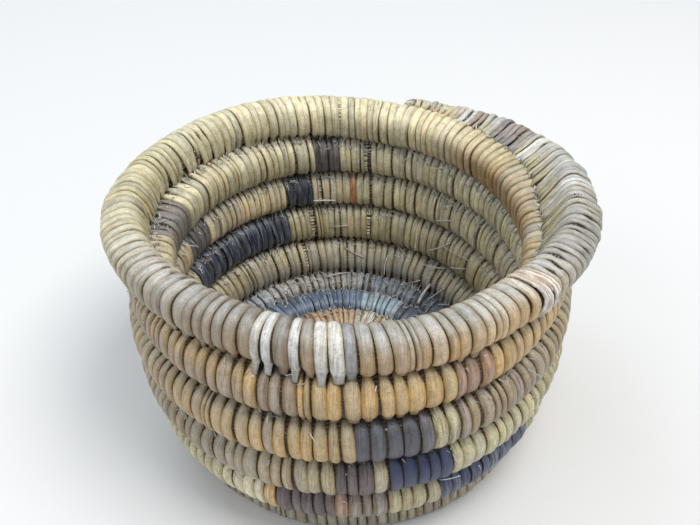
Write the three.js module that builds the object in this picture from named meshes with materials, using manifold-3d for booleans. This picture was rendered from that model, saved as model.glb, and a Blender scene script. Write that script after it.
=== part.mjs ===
// A coiled bowl basket, in millimetres, +Z up. It stands on z = 0, centred on Z.
// One bundle of grass, the foundation, runs unbroken from the middle of the base to the rim.
// Flat splints are wound round the foundation, one after the other, and every turn is sewn to the
// turn that it lies on: the turn inside it on the base, and the turn below it on the wall.
import * as THREE from "three";
import { mergeVertices } from "three/addons/utils/BufferGeometryUtils.js";
import Module from "manifold-3d";

// Driving dimensions: the coil's thickness over its splints, from the middle to the rim's end
const START_COIL = 4.8;
const BASE_COIL = 9.6;
const WALL_COIL = 13.8;
const RIM_BACK_COIL = 12.8;
const RIM_FRONT_COIL = 11.4;
const END_COIL = 7;

// Driving dimensions: the knot that the coil starts round, the splints and their stitches
const KNOT_RADIUS = 3.2;
const KNOT_HEIGHT = 4.6;
const KNOT_EDGE = 1.2;
const KNOT_SIDES = 12;
const KNOT_EDGE_STEPS = 3;
const SPLINT_THICKNESS = 1.5;
const BASE_SPLINT_THICKNESS = 0.9;
const GROOVE_DEPTH = 0.65;
const TONGUE_WIDTH = 2.6;
const TONGUE_THICKNESS = 1.6;

// Clearances: between turns, between a splint and what it holds, and between splint ends
const TURN_GAP = 0.35;
const FIT_GAP = 0.3;
const SPLINT_END_GAP = 0.3;

// The coil winds steadily outwards and then upwards, ten times round, to its end at the back.
// The small turns in the middle of the base take fewer steps than the others.
const TURNS = 10;
const STEPS_PER_TURN = 24;
const MIDDLE_TURNS = 2;
const MIDDLE_STEPS_PER_TURN = 12;
const END_AZIMUTH = 69;
const CORNER_TURN = 4;
const RIM_TURN = 9;

// How far the next turn leans outwards from each place on the coil, as [turn, degrees from
// upright]. The wall swells and draws in again, and the last turn leans out until it lies beside
// the one before it.
const LAST_FLAT_TURN = 3.5;
const FIRST_WALL_TURN = 4.5;
const LEAN = [
  [LAST_FLAT_TURN, 90],
  [FIRST_WALL_TURN, 19],
  [5.5, 11],
  [6.5, 3],
  [7.5, -6],
  [8, -9],
  [8.25, 35],
  [8.5, -9],
  [8.65, 2],
  [8.8, 34],
  [8.9, 68],
  [RIM_TURN, 88],
];

const COIL_THICKNESS = [
  [0, START_COIL],
  [1, BASE_COIL],
  [3.8, BASE_COIL],
  [5.2, WALL_COIL],
  [8, WALL_COIL],
  [9.06, RIM_BACK_COIL],
  [9.56, RIM_FRONT_COIL],
  [9.8, RIM_FRONT_COIL],
  [TURNS, END_COIL],
];

// A stitch's width along the middle of the coil, as [turn, millimetres], and its unevenness
const STITCH_WIDTH = [
  [0, 2],
  [1, 2.4],
  [3, 2.6],
  [5, 3.5],
  [6, 3.5],
  [6.5, 3.7],
  [7.06, 3.5],
  [7.5, 4],
  [8.06, 3.5],
  [8.5, 4],
  [9.06, 2.9],
  [9.56, 3.5],
  [9.8, 3.1],
  [TURNS, 2.8],
];
const UNEVENNESS = 0.16;

// From this turn on, the stitches stand out as ribs. They don't show on the flat base's solids.
const FIRST_RIBBED_TURN = 5;

// The share of a coil's thickness that is flattened where it stands on the table, and how far the
// corners of its section stand out beyond a circle
const FLAT_SHARE = 0.1;
const CORNER_SHARE = 1.12;

// Dyed splints, as [from turn, to turn, dye]. They make a stepped pattern.
const DYED_SPLINTS = [
  [3.93, 4.02, "slate"],
  [5.509, 5.561, "plum"],
  [5.628, 5.706, "indigo"],
  [6.12, 6.251, "indigo"],
  [6.552, 6.587, "plum"],
  [6.587, 6.625, "indigo"],
  [7.088, 7.12, "indigo"],
  [7.227, 7.26, "slate"],
  [7.565, 7.614, "slate"],
  [7.614, 7.64, "plum"],
  [8.057, 8.086, "slate"],
  [8.258, 8.333, "slate"],
  [8.626, 8.651, "plum"],
];

// The most of a turn that one undyed splint covers, and the binding at the rim's end
const UNDYED_REACH = [1, 0.5, 0.5, 0.35, 0.25, 0.21, 0.21, 0.21, 0.21, 0.21];
const FIRST_BINDING_TURN = 9.92;

// A seam this near to a whole turn, in turns, counts as the start of that turn's place.
const SEAM_SLACK_TURNS = 0.02;

// The places where a stitch's tongue is modelled all the way into the turn before
const TONGUES = [2.5, 3.5, 4.5, 5.5, 6.5, 7.5, 8.5, 9.5];

const COLOURS = {
  straw: 0xc6a667,
  slate: 0x55555c,
  indigo: 0x1f2a44,
  plum: 0x6f565c,
  pale: 0xd8cbb0,
  grass: 0x8d7a4e,
};

const wasm = await Module();
wasm.setup();

const smooth = (x) => x * x * (3 - 2 * x);
const radians = THREE.MathUtils.degToRad;

// A table's value at x, eased between its entries.
function lookUp(table, x) {
  if (x <= table[0][0]) return table[0][1];
  for (let i = 1; i < table.length; i++) {
    const [x0, y0] = table[i - 1];
    const [x1, y1] = table[i];
    if (x <= x1) return y0 + (y1 - y0) * smooth((x - x0) / (x1 - x0));
  }
  return table[table.length - 1][1];
}

const coilRadius = (turn) => lookUp(COIL_THICKNESS, turn) / 2;
const tableHeight = (turn) => coilRadius(turn) * (1 - 2 * FLAT_SHARE);
const spacing = (turn) => coilRadius(turn) + coilRadius(turn + 1) + TURN_GAP;
const azimuthAt = (turn) => radians(END_AZIMUTH + 360 * turn);

// A splint is thin on the small coil of the base, and thicker where its ribs are modelled.
function splintThickness(turn) {
  const share = smooth(Math.min(1, Math.max(0, turn - CORNER_TURN)));
  return BASE_SPLINT_THICKNESS + (SPLINT_THICKNESS - BASE_SPLINT_THICKNESS) * share;
}
const boreRadius = (turn) => coilRadius(turn) - splintThickness(turn);
const foundationRadius = (turn) => boreRadius(turn) - FIT_GAP;

// The angle from upright at which the next turn lies from this one, in radians. On the base it
// is the angle that lets both turns stand on the table.
function leanAt(turn) {
  const rise = tableHeight(turn + 1) - tableHeight(turn);
  const flat = Math.acos(rise / spacing(turn));
  if (turn < LAST_FLAT_TURN) return flat;
  const left = Math.max(0, FIRST_WALL_TURN - turn);
  const flatShare = left / (FIRST_WALL_TURN - LAST_FLAT_TURN);
  return radians(lookUp(LEAN, turn)) + (flat - Math.PI / 2) * flatShare;
}

// The coil's middle at a turn, as x from the axis and y from the table.
function centreAt(turn) {
  if (turn < 1) {
    const inner = KNOT_RADIUS + TURN_GAP + (START_COIL + TURN_GAP) * turn;
    return new THREE.Vector2(inner + coilRadius(turn), tableHeight(turn));
  }
  const lean = leanAt(turn - 1);
  const away = new THREE.Vector2(Math.sin(lean), Math.cos(lean));
  return away.multiplyScalar(spacing(turn - 1)).add(centreAt(turn - 1));
}

// The direction in the coil's section towards the turn before, and towards the next turn.
const inwards = (turn) => (turn < 1 ? Math.PI : Math.PI * 1.5 - leanAt(turn - 1));
const onwards = (turn) => Math.PI / 2 - leanAt(turn);

// The six corners of a section, as angle and distance from the coil's middle. One corner points
// at the turn before, one away from it and two lie on each side. The side corners stand out
// beyond the others and hold a groove, and none crosses the plane between two turns.
const SIDES = 6;
const SIDE_CORNERS = [1, 2, 4, 5];
function cornersAt(turn, radius, groove = 0) {
  return Array.from({ length: SIDES }, (_, i) => {
    const angle = inwards(turn) + (i / SIDES) * 2 * Math.PI;
    const facing = turn < RIM_TURN ? Math.cos(angle - onwards(turn)) : 0;
    const limit = facing > 0 ? 1 / facing : CORNER_SHARE;
    const reach = SIDE_CORNERS.includes(i) ? Math.min(CORNER_SHARE, limit) : 1;
    const depth = SIDE_CORNERS.includes(i) ? groove : 0;
    return { angle, distance: radius * reach - depth };
  });
}

// A ring of points round the coil at a turn, in the plane through the axis, kept above a floor.
function ringAt(turn, radius, floor, groove = 0) {
  const centre = centreAt(turn);
  const azimuth = azimuthAt(turn);
  return cornersAt(turn, radius, groove).map(({ angle, distance }) => {
    const out = centre.x + distance * Math.cos(angle);
    const up = Math.max(floor, centre.y + distance * Math.sin(angle));
    return new THREE.Vector3(
      out * Math.cos(azimuth),
      out * Math.sin(azimuth),
      up,
    );
  });
}

// The turns at which the foundation and the bores round it have their rings.
const stepTurns = [];
for (let step = 0; step < MIDDLE_TURNS * MIDDLE_STEPS_PER_TURN; step++) {
  stepTurns.push(step / MIDDLE_STEPS_PER_TURN);
}
for (let step = MIDDLE_TURNS * STEPS_PER_TURN; step <= TURNS * STEPS_PER_TURN; step++) {
  stepTurns.push(step / STEPS_PER_TURN);
}

// A ring on the straight stretch between the two steps that a turn lies between, so that a bore
// stays parallel to the foundation in it.
function ringBetween(turn, ringOf) {
  const next = Math.max(1, stepTurns.findIndex((step) => step >= turn));
  const [t0, t1] = [stepTurns[next - 1], stepTurns[next]];
  const [near, far] = [ringOf(t0), ringOf(t1)];
  return near.map((point, i) => point.clone().lerp(far[i], (turn - t0) / (t1 - t0)));
}

const foundationRing = (turn) =>
  ringAt(turn, foundationRadius(turn), splintThickness(turn) + FIT_GAP);
const boreRing = (turn) => ringAt(turn, boreRadius(turn), splintThickness(turn));
const outerRing = (turn, groove) => ringAt(turn, coilRadius(turn), 0, groove);

const quad = (a, b, c, d) => [
  [a, b, d],
  [d, b, c],
];

// Triangles between two rings of equal count.
function wallTriangles(near, far) {
  return near.flatMap((a, i) => {
    const j = (i + 1) % near.length;
    return quad(a, far[i], far[j], near[j]);
  });
}

// Triangles between two ribs with a groove in the middle. A groove has side corners only, as the
// corners towards the neighbouring turns run straight on from rib to rib.
function grooveTriangles(near, groove, far) {
  return near.flatMap((a, i) => {
    const j = (i + 1) % near.length;
    const [here, next] = [SIDE_CORNERS.includes(i), SIDE_CORNERS.includes(j)];
    if (here && next) {
      return [...quad(a, groove[i], groove[j], near[j]), ...quad(groove[i], far[i], far[j], groove[j])];
    }
    const low = here ? groove[i] : groove[j];
    const side = here ? [a, far[i]] : [near[j], far[j]];
    const plain = here ? [near[j], far[j]] : [a, far[i]];
    const faces = [
      [side[0], low, plain[0]],
      [plain[0], low, plain[1]],
      [low, side[1], plain[1]],
    ];
    return here ? faces : faces.map((face) => face.reverse());
  });
}
const reversed = (triangles) => triangles.map((face) => [...face].reverse());

function geometryOf(triangles) {
  return new THREE.BufferGeometry().setFromPoints(triangles.flat());
}

// A solid tube through rings of equal count.
function tube(rings) {
  const triangles = [];
  rings.slice(1).forEach((ring, k) => triangles.push(...wallTriangles(rings[k], ring)));
  const last = rings[rings.length - 1];
  for (let i = 1; i + 1 < last.length; i++) {
    triangles.push([rings[0][0], rings[0][i], rings[0][i + 1]]);
    triangles.push([last[0], last[i + 1], last[i]]);
  }
  return geometryOf(triangles);
}

function solidOf(geometry) {
  const bare = geometry.index ? geometry.toNonIndexed() : geometry.clone();
  bare.deleteAttribute("normal");
  bare.deleteAttribute("uv");
  const merged = mergeVertices(bare, 1e-4);
  return new wasm.Manifold(
    new wasm.Mesh({
      numProp: 3,
      vertProperties: merged.attributes.position.array,
      triVerts: new Uint32Array(merged.index.array),
    }),
  );
}

function geometryFrom(solid) {
  const mesh = solid.getMesh();
  const points = new THREE.BufferAttribute(
    new Float32Array(mesh.vertProperties),
    mesh.numProp,
  );
  return new THREE.BufferGeometry()
    .setAttribute("position", points)
    .setIndex(new THREE.BufferAttribute(new Uint32Array(mesh.triVerts), 1))
    .toNonIndexed();
}

// The least distance between points of turns that lie next to each other.
function leastGap(rings) {
  let least = Infinity;
  rings.forEach((ring, k) =>
    rings.slice(k + 1).forEach((next, n) => {
      const apart = stepTurns[k + 1 + n] - stepTurns[k];
      if (apart < 0.9 || apart > 1.1) return;
      ring.forEach((a) =>
        next.forEach((b) => {
          least = Math.min(least, a.distanceTo(b));
        }),
      );
    }),
  );
  return least;
}

// The turns at which one stitch ends and the next begins. Their widths vary a little.
const seams = [0];
while (seams[seams.length - 1] < TURNS) {
  const turn = seams[seams.length - 1];
  const uneven = 1 + UNEVENNESS * Math.sin(seams.length ** 2);
  const around = 2 * Math.PI * centreAt(Math.min(turn, TURNS)).x;
  seams.push(turn + (lookUp(STITCH_WIDTH, turn) * uneven) / around);
}
seams[seams.length - 1] = TURNS;
const nearestSeam = (turn) =>
  seams.reduce((best, seam) => (Math.abs(seam - turn) < Math.abs(best - turn) ? seam : best));

// One splint, wound round the foundation from one seam to another.
function splintGeometry(from, to) {
  const drawnIn = (turn) => SPLINT_END_GAP / 2 / (2 * Math.PI * centreAt(turn).x);
  const [start, end] = [from + drawnIn(from), to - drawnIn(to)];
  const between = (turn) => turn > start + 1e-6 && turn < end - 1e-6;
  const bore = [start, ...stepTurns.filter(between), end];
  const bores = bore.map((turn) => ringBetween(turn, boreRing));
  const ends = [];
  const triangles = [];
  bores.slice(1).forEach((ring, k) => {
    triangles.push(...reversed(wallTriangles(bores[k], ring)));
  });
  if (from < FIRST_RIBBED_TURN) {
    const outer = bore.map((turn) => ringBetween(turn, (step) => outerRing(step, 0)));
    outer.slice(1).forEach((ring, k) => triangles.push(...wallTriangles(outer[k], ring)));
    ends.push(outer[0], outer[outer.length - 1]);
  } else {
    const inner = seams.filter(between);
    const edges = [start, ...inner, end];
    const ribs = edges.slice(1).map((edge, k) => outerRing((edge + edges[k]) / 2, 0));
    const grooves = inner.map((seam) => outerRing(seam, GROOVE_DEPTH));
    ends.push(outerRing(start, GROOVE_DEPTH), outerRing(end, GROOVE_DEPTH));
    triangles.push(...wallTriangles(ends[0], ribs[0]));
    grooves.forEach((groove, k) => {
      triangles.push(...grooveTriangles(ribs[k], groove, ribs[k + 1]));
    });
    triangles.push(...wallTriangles(ribs[ribs.length - 1], ends[1]));
  }
  triangles.push(...wallTriangles(bores[0], ends[0]));
  triangles.push(...reversed(wallTriangles(bores[bores.length - 1], ends[1])));
  return geometryOf(triangles);
}

// The part of a stitch that is sewn into the turn before: a flat tongue from the splint's wall
// to half way into the foundation there. A margin grows it into the slot that it passes through.
function tongueSolid(turn, margin) {
  const here = centreAt(turn);
  const away = centreAt(turn - 1).sub(here);
  const root = coilRadius(turn) - splintThickness(turn) / 2;
  const tip = away.length() - foundationRadius(turn - 1) / 2;
  const box = new THREE.BoxGeometry(
    tip - root + margin,
    TONGUE_WIDTH + 2 * margin,
    TONGUE_THICKNESS + 2 * margin,
  );
  box.translate((tip + root + margin) / 2, 0, 0);
  box.rotateY(-Math.atan2(away.y, away.x));
  box.translate(here.x, 0, here.y);
  box.rotateZ(azimuthAt(turn));
  return solidOf(box);
}

// The splints in order, each from one seam to another. Undyed stretches are shared out evenly.
function splintPlan() {
  const plan = [];
  const dyed = DYED_SPLINTS.map(([from, to, dye]) => ({
    from: nearestSeam(from),
    to: nearestSeam(to),
    dye,
  }));
  dyed.push({ from: nearestSeam(FIRST_BINDING_TURN), to: TURNS, dye: "pale" });
  let turn = 0;
  dyed.forEach((splint) => {
    while (turn < splint.from) {
      const whole = Math.floor(turn + SEAM_SLACK_TURNS);
      const stop = Math.min(splint.from, nearestSeam(whole + 1));
      const count = Math.ceil((stop - turn - SEAM_SLACK_TURNS) / UNDYED_REACH[whole]);
      const to = count > 1 ? nearestSeam(turn + (stop - turn) / count) : stop;
      plan.push({ from: turn, to, dye: "straw" });
      turn = to;
    }
    plan.push(splint);
    turn = splint.to;
  });
  return plan;
}

function placeName(turn) {
  if (turn < CORNER_TURN) return `base_turn_${turn + 1}`;
  if (turn === CORNER_TURN) return "corner_turn";
  if (turn === RIM_TURN) return "rim";
  return `wall_row_${turn - CORNER_TURN}`;
}

// The small wound knot in the middle of the base, with eased edges, as half an outline.
function knotGeometry() {
  const outline = new THREE.Shape();
  outline.moveTo(0, 0);
  outline.lineTo(KNOT_RADIUS, 0);
  outline.lineTo(KNOT_RADIUS, KNOT_HEIGHT - KNOT_EDGE);
  outline.quadraticCurveTo(
    KNOT_RADIUS,
    KNOT_HEIGHT,
    KNOT_RADIUS - KNOT_EDGE,
    KNOT_HEIGHT,
  );
  outline.lineTo(0, KNOT_HEIGHT);
  const knot = new THREE.LatheGeometry(outline.getPoints(KNOT_EDGE_STEPS), KNOT_SIDES);
  return knot.rotateX(Math.PI / 2);
}

const basket = new THREE.Group();

function addPiece(name, geometry, colour) {
  geometry.computeVertexNormals();
  const material = new THREE.MeshStandardMaterial({
    color: COLOURS[colour],
    roughness: 0.6,
    metalness: 0,
    flatShading: true,
  });
  const mesh = new THREE.Mesh(geometry, material);
  mesh.name = name;
  basket.add(mesh);
}

const foundationRings = stepTurns.map(foundationRing);
let foundation = solidOf(tube(foundationRings));
const plan = splintPlan();
plan.forEach((splint) => {
  splint.solid = solidOf(splintGeometry(splint.from, splint.to));
});

// A tongue grows from the middle of the stitch that lies at its place.
TONGUES.forEach((place) => {
  const after = seams.findIndex((seam) => seam > place);
  const turn = (seams[after - 1] + seams[after]) / 2;
  const slot = tongueSolid(turn, FIT_GAP);
  foundation = foundation.subtract(slot);
  plan.forEach((splint) => {
    if (splint.from < turn && turn < splint.to) {
      splint.solid = splint.solid.add(tongueSolid(turn, 0));
    }
    if (splint.from - SEAM_SLACK_TURNS < turn - 1 && turn - 1 < splint.to + SEAM_SLACK_TURNS) {
      splint.solid = splint.solid.subtract(slot);
    }
  });
});

addPiece("start_knot", knotGeometry(), "grass");
addPiece("foundation_coil", geometryFrom(foundation), "grass");
const counts = {};
plan.forEach((splint) => {
  const place = placeName(Math.floor(splint.from + SEAM_SLACK_TURNS));
  const kind = splint.dye === "straw" ? "splint" : `${splint.dye}_splint`;
  const label = splint.dye === "pale" ? "rim_end_binding" : `${place}_${kind}`;
  counts[label] = (counts[label] || 0) + 1;
  const name = splint.dye === "pale" ? label : `${label}_${counts[label]}`;
  addPiece(name, geometryFrom(splint.solid), splint.dye);
});

// The winding's own box isn't centred on its axis, so the whole basket is moved until it is.
const middle = new THREE.Box3().setFromObject(basket).getCenter(new THREE.Vector3());
basket.children.forEach((mesh) => {
  mesh.geometry.translate(-middle.x, -middle.y, 0);
});

const gap = leastGap(foundationRings).toFixed(2);
console.log(`the foundation's turns are at least ${gap} mm apart, with ${seams.length - 1} stitches`);

export default basket;
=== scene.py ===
import math

import bpy
import numpy as np
from mathutils import Matrix, Vector


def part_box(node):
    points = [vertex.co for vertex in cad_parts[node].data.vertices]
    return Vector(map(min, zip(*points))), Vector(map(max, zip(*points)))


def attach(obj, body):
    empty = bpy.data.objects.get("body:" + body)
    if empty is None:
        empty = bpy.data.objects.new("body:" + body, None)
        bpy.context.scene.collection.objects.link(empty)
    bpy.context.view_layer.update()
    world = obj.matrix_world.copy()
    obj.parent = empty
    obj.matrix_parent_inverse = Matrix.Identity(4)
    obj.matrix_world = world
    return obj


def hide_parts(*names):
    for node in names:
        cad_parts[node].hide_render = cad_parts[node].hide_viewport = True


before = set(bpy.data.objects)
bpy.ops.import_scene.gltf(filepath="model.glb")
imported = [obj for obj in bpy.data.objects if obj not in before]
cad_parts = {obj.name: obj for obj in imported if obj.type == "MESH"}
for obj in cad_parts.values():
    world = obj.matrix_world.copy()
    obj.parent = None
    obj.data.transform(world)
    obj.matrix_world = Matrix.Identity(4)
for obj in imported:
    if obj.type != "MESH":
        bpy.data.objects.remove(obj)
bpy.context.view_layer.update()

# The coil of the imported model, in millimetres, as in its source
START_COIL, BASE_COIL, WALL_COIL = 4.8, 9.6, 13.8
RIM_BACK_COIL, RIM_FRONT_COIL, END_COIL = 12.8, 11.4, 7.0
KNOT_RADIUS, KNOT_HEIGHT, TURN_GAP, FLAT_SHARE = 3.2, 4.6, 0.35, 0.1
TURNS, END_AZIMUTH = 10, 69
CORNER_TURN, RIM_TURN, LAST_FLAT_TURN, FIRST_WALL_TURN = 4, 9, 3.5, 4.5
# Its thickness and its lean from upright, in degrees, at some of its turns
THICKNESS = [
    (0, START_COIL), (1, BASE_COIL), (3.8, BASE_COIL), (5.2, WALL_COIL), (8, WALL_COIL),
    (9.06, RIM_BACK_COIL), (9.56, RIM_FRONT_COIL), (9.8, RIM_FRONT_COIL), (TURNS, END_COIL),
]
LEAN = [
    (3.5, 90), (4.5, 19), (5.5, 11), (6.5, 3), (7.5, -6), (8, -9), (8.25, 35), (8.5, -9),
    (8.65, 2), (8.8, 34), (8.9, 68), (9, 88),
]
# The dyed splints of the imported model: from turn, to turn, dye
DYED = [
    (3.93, 4.02, "slate"), (5.509, 5.561, "plum"), (5.628, 5.706, "indigo"),
    (6.12, 6.251, "indigo"), (6.552, 6.587, "plum"), (6.587, 6.625, "indigo"),
    (7.088, 7.12, "indigo"), (7.227, 7.26, "slate"), (7.565, 7.614, "slate"),
    (7.614, 7.64, "plum"), (8.057, 8.086, "slate"), (8.258, 8.333, "slate"),
    (8.626, 8.651, "plum"),
]
BINDING_FROM = 9.92
MM = 0.001

# The coil's axis goes through the middle of the knot.
knot_low, knot_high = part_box("start_knot")
AXIS = [(knot_low[i] + knot_high[i]) / 2 / MM for i in range(2)]

SEED = 21
rng = np.random.default_rng(SEED)


def look_up(table, x):
    """A table's value at x, eased between its entries."""
    x = np.asarray(x, float)
    xs = np.array([row[0] for row in table], float)
    ys = np.array([row[1] for row in table], float)
    i = np.clip(np.searchsorted(xs, x, side="right") - 1, 0, len(xs) - 2)
    f = np.clip((x - xs[i]) / (xs[i + 1] - xs[i]), 0, 1)
    return ys[i] + (ys[i + 1] - ys[i]) * f * f * (3 - 2 * f)


def ease(a, b, x):
    """0 at a, 1 at b, eased between them."""
    f = np.clip((np.asarray(x, float) - a) / (b - a), 0, 1)
    return f * f * (3 - 2 * f)


def profile(turn):
    """The coil's middle (out from the axis, up from the table) at an array of turns."""
    def radius(t):
        return look_up(THICKNESS, t) / 2

    def table(t):
        return radius(t) * (1 - 2 * FLAT_SHARE)

    whole = np.floor(turn + 1e-9)
    part = np.clip(turn - whole, 0, 1)
    out = KNOT_RADIUS + TURN_GAP + (START_COIL + TURN_GAP) * part + radius(part)
    up = table(part)
    for k in range(TURNS):
        t = part + k
        space = radius(t) + radius(t + 1) + TURN_GAP
        flat = np.arccos((table(t + 1) - table(t)) / space)
        share = np.clip((FIRST_WALL_TURN - t) / (FIRST_WALL_TURN - LAST_FLAT_TURN), 0, 1)
        wall = np.radians(look_up(LEAN, t)) + (flat - math.pi / 2) * share
        lean = np.where(t < LAST_FLAT_TURN, flat, wall)
        more = k < whole
        out = np.where(more, out + space * np.sin(lean), out)
        up = np.where(more, up + space * np.cos(lean), up)
    return out, up


# The profile at closely spaced turns, which the next functions read
GRID = np.linspace(0, TURNS, 8001)
GRID_OUT, GRID_UP = profile(GRID)
GRID_RADIUS = look_up(THICKNESS, GRID) / 2


def out_at(t):
    return np.interp(t, GRID, GRID_OUT)


def up_at(t):
    return np.interp(t, GRID, GRID_UP)


def radius_at(t):
    return np.interp(t, GRID, GRID_RADIUS)


def toward(t, other):
    """The angle in the coil's section from the middle at t to the middle at another turn."""
    angle = np.arctan2(up_at(other) - up_at(t), out_at(other) - out_at(t))
    return np.mod(angle + math.pi / 4, math.tau) - math.pi / 4


def down_at(t):
    """The angle towards the turn before, which the stitches are sewn into."""
    t = np.asarray(t, float)
    return np.where(t < 1, math.pi, toward(np.maximum(t, 1), np.maximum(t, 1) - 1))


def next_at(t):
    return toward(t, np.minimum(np.asarray(t, float) + 1, TURNS))


# How square the coil's section is: 2 is a circle, and rows pressed together are squarer.
SQUARENESS = [
    (0, 3.4), (3.6, 3.4), (4.6, 2.7), (8.12, 2.55), (8.3, 3.1), (8.45, 2.6), (8.68, 2.6),
    (8.8, 3.4), (9.0, 3.0), (9.12, 2.5), (9.3, 3.0), (9.48, 2.5), (9.66, 2.6), (9.76, 3.2),
    (TURNS, 2.6),
]
# The cosine up to which the section is flattened towards the next turn
FLATTENED_TO = 0.5


def squareness(t, rel):
    """How far the section stands out at an angle from down, as a share of the coil's radius."""
    power = look_up(SQUARENESS, t)
    side = np.abs(np.cos(rel)) ** power + np.abs(np.sin(rel)) ** power
    reach = side ** (-1 / power)
    facing = np.cos(rel + down_at(t) - next_at(t))
    facing = np.where(np.asarray(t) < RIM_TURN, facing, 0)
    return np.minimum(reach, 1 / np.maximum(facing, FLATTENED_TO))


# Height below which the coil is pressed softly against the table, how much lower its lowest
# places sink, and the height that nothing goes below
SOFT_HEIGHT, SUNK, LEAST_HEIGHT = 1.2, 0.17, 0.01


def placed(t, out, up):
    """Points in metres from places in the coil's section plane at a turn."""
    up = np.asarray(up, float)
    pressed = SOFT_HEIGHT * np.exp((np.minimum(up, SOFT_HEIGHT) - SOFT_HEIGHT) / SOFT_HEIGHT)
    settled = pressed - SUNK * (1 - pressed / SOFT_HEIGHT)
    up = np.where(up < SOFT_HEIGHT, np.maximum(settled, LEAST_HEIGHT), up)
    azimuth = np.radians(END_AZIMUTH + 360 * np.asarray(t))
    x = AXIS[0] + out * np.cos(azimuth)
    y = AXIS[1] + out * np.sin(azimuth)
    return np.stack([x, y, up], -1) * MM


def coil_points(t, angle, radius):
    """Points in metres: at a turn, at an angle round the coil, that far from its middle."""
    return placed(t, out_at(t) + radius * np.cos(angle), up_at(t) + radius * np.sin(angle))


def linear(rgb):
    """A colour of 0 to 255 levels as the renderer takes it."""
    c = np.asarray(rgb, float) / 255
    return np.where(c <= 0.04045, c / 12.92, ((c + 0.055) / 1.055) ** 2.4)


# The colours of the splints
SPLINT = {
    "cream": (232, 223, 184), "hay": (206, 198, 154), "straw": (190, 178, 132),
    # Of these, the pale gold is painted light, brighter than the splints' own gold.
    "gold": (203, 165, 96), "painted_light_gold": (238, 218, 174), "amber": (166, 128, 72),
    "olive": (172, 166, 138), "dull": (154, 142, 108), "stone": (156, 154, 146),
    "tan": (154, 130, 96), "grey": (140, 136, 129), "ash": (190, 188, 182),
    "blue_grey": (148, 166, 192), "blue_slate": (88, 102, 126), "slate_blue": (112, 118, 128),
    "pale_blue": (162, 188, 204), "rust": (202, 172, 138), "rust_brown": (168, 144, 126),
    "orange": (214, 176, 112), "bright_orange": (208, 132, 66), "brown": (118, 84, 58),
    # Of these, the cool white is a painted sheen on the splints' crests.
    "white": (204, 202, 199), "chalk": (222, 222, 220), "sheen_cool_white": (206, 212, 220),
    "slate": (78, 82, 94), "slate_brown": (112, 108, 110), "indigo": (8, 30, 80),
    "worn_indigo": (32, 52, 92), "blue_black": (16, 28, 58), "plum": (112, 96, 98),
    "plum_gold": (152, 126, 92), "mottled": (146, 134, 120), "pink": (172, 132, 98),
    "dark": (62, 50, 44), "scratch": (150, 158, 168),
}
SPLINT = {name: linear(rgb) for name, rgb in SPLINT.items()}

# Undyed splints along the coil: turn, and the colours of outer side, top and inner side
NATURAL = [
    (0.0, "tan", "tan", "tan"), (1.3, "tan", "tan", "dull"), (1.9, "dull", "stone", "blue_grey"),
    (3.3, "dull", "blue_grey", "blue_grey"), (3.85, "dull", "slate_blue", "slate_blue"),
    (4.0, "dull", "blue_grey", "slate_blue"), (4.06, "dull", "stone", "stone"),
    (4.13, "dull", "ash", "stone"), (4.2, "dull", "blue_grey", "blue_grey"),
    (4.35, "dull", "blue_grey", "stone"), (4.6, "dull", "grey", "stone"),
    (5.0, "straw", "straw", "stone"), (5.3, "hay", "straw", "dull"), (5.5, "hay", "straw", "dull"),
    (6.0, "straw", "hay", "straw"), (6.45, "tan", "dull", "straw"),
    (6.65, "straw", "straw", "straw"), (7.0, "straw", "hay", "cream"),
    # On the inner side of turns 7.1 to 7.24 the pale gold is painted light, for light falling on this
    # inner wall.
    (7.1, "dull", "cream", "painted_light_gold"), (7.24, "dull", "cream", "painted_light_gold"),
    (7.35, "tan", "straw", "gold"), (7.5, "gold", "dull", "dull"), (7.7, "tan", "dull", "straw"),
    # On the inner side of turns 7.9 and 8.0 the cream is painted light, lifting the shade under the
    # rim.
    (7.9, "straw", "cream", "cream"), (8.0, "straw", "cream", "cream"),
    (8.25, "tan", "cream", "hay"), (8.45, "tan", "gold", "dull"), (8.55, "gold", "gold", "dull"),
    (8.7, "gold", "straw", "gold"), (8.82, "gold", "dull", "amber"),
    # On the inner side of turn 8.97 the cream is painted light on the rim's shaded underside.
    (8.9, "gold", "straw", "amber"), (8.97, "gold", "cream", "cream"),
    (9.04, "straw", "cream", "cream"), (9.12, "cream", "cream", "cream"),
    (9.3, "cream", "hay", "straw"), (9.4, "dull", "ash", "straw"), (9.46, "tan", "grey", "tan"),
    # From turn 9.57 to 9.64 the grey tops over amber and gold outer sides are a painted sheen.
    (9.57, "amber", "stone", "dull"), (9.64, "gold", "stone", "tan"),
    (9.69, "gold", "ash", "amber"), (9.74, "stone", "stone", "olive"),
    (9.86, "stone", "ash", "straw"), (9.94, "tan", "ash", "straw"), (TURNS, "tan", "hay", "gold"),
]
NATURAL_TURNS = [row[0] for row in NATURAL]
NATURAL_SIDES = np.array([[SPLINT[name] for name in row[1:]] for row in NATURAL])

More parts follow.
